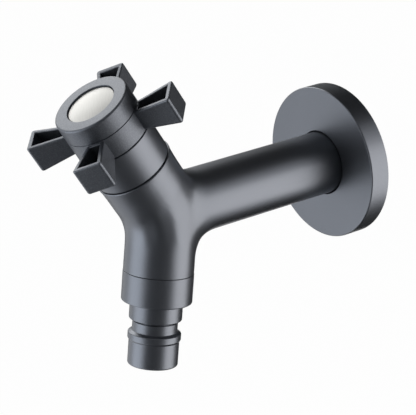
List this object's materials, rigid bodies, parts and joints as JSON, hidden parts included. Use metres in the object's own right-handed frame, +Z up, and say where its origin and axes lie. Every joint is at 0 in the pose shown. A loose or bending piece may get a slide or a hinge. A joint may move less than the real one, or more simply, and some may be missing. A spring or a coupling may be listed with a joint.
{
  "type": "outdoor garden tap",
  "caption": "Wall-mounted garden tap with a quarter-turn cross handle, a tilted ceramic valve, a round wall plate and a downward nozzle for a click-on hose connector.",
  "frame": {"origin": "on the axis of the inlet thread, in the plane of the wall", "axes": "+Y into the wall along the inlet thread, +Z up, the tap stands out along -Y"},
  "size_m": [0.06, 0.1436, 0.1129],
  "materials": {
    "dark_coat": "satin dark grey metallic coat on brass",
    "handle_coat": "the same coat with a fine sandy grain",
    "bare_brass": "turned",
    "seal_rubber": "moulded",
    "ceramic": "lapped alumina, listed as gloss plastic",
    "brushed_insert": "brushed one way, bright edge",
    "plain_steel": "turned",
    "bush_plastic": "moulded"
  },
  "bodies": {
    "tap_body": {"valve_body": "dark_coat", "outlet_collar": "dark_coat", "outlet_washer": "seal_rubber", "hose_nipple": "dark_coat", "seat_seal": "seal_rubber", "fixed_ceramic_disc": "ceramic", "cartridge_housing": "bare_brass", "housing_gasket": "seal_rubber", "thrust_washer": "bare_brass", "cartridge_cover": "dark_coat"},
    "handle": {"turning_ceramic_disc": "ceramic", "spindle": "bare_brass", "spindle_o_ring_lower": "seal_rubber", "spindle_o_ring_upper": "seal_rubber", "stop_ring": "bare_brass", "spindle_clip": "plain_steel", "spline_bush": "bush_plastic", "handle_cross": "handle_coat", "handle_washer": "plain_steel", "handle_screw": "plain_steel", "handle_cap": "handle_coat", "cap_ring": "seal_rubber", "index_disc": "brushed_insert"},
    "wall_plate": {"escutcheon": "dark_coat", "escutcheon_grip_ring": "seal_rubber"}
  },
  "joints": [
    {"name": "handle_turn", "type": "hinge", "parent": "tap_body", "child": "handle", "pos_m": [0, -0.0845, 0], "axis": [0, -0.5, 0.866], "range_deg": [0, 90]},
    {"name": "escutcheon_slide", "type": "slide", "parent": "tap_body", "child": "wall_plate", "axis": [0, -1, 0], "range_m": [0, 0.05]}
  ]
}
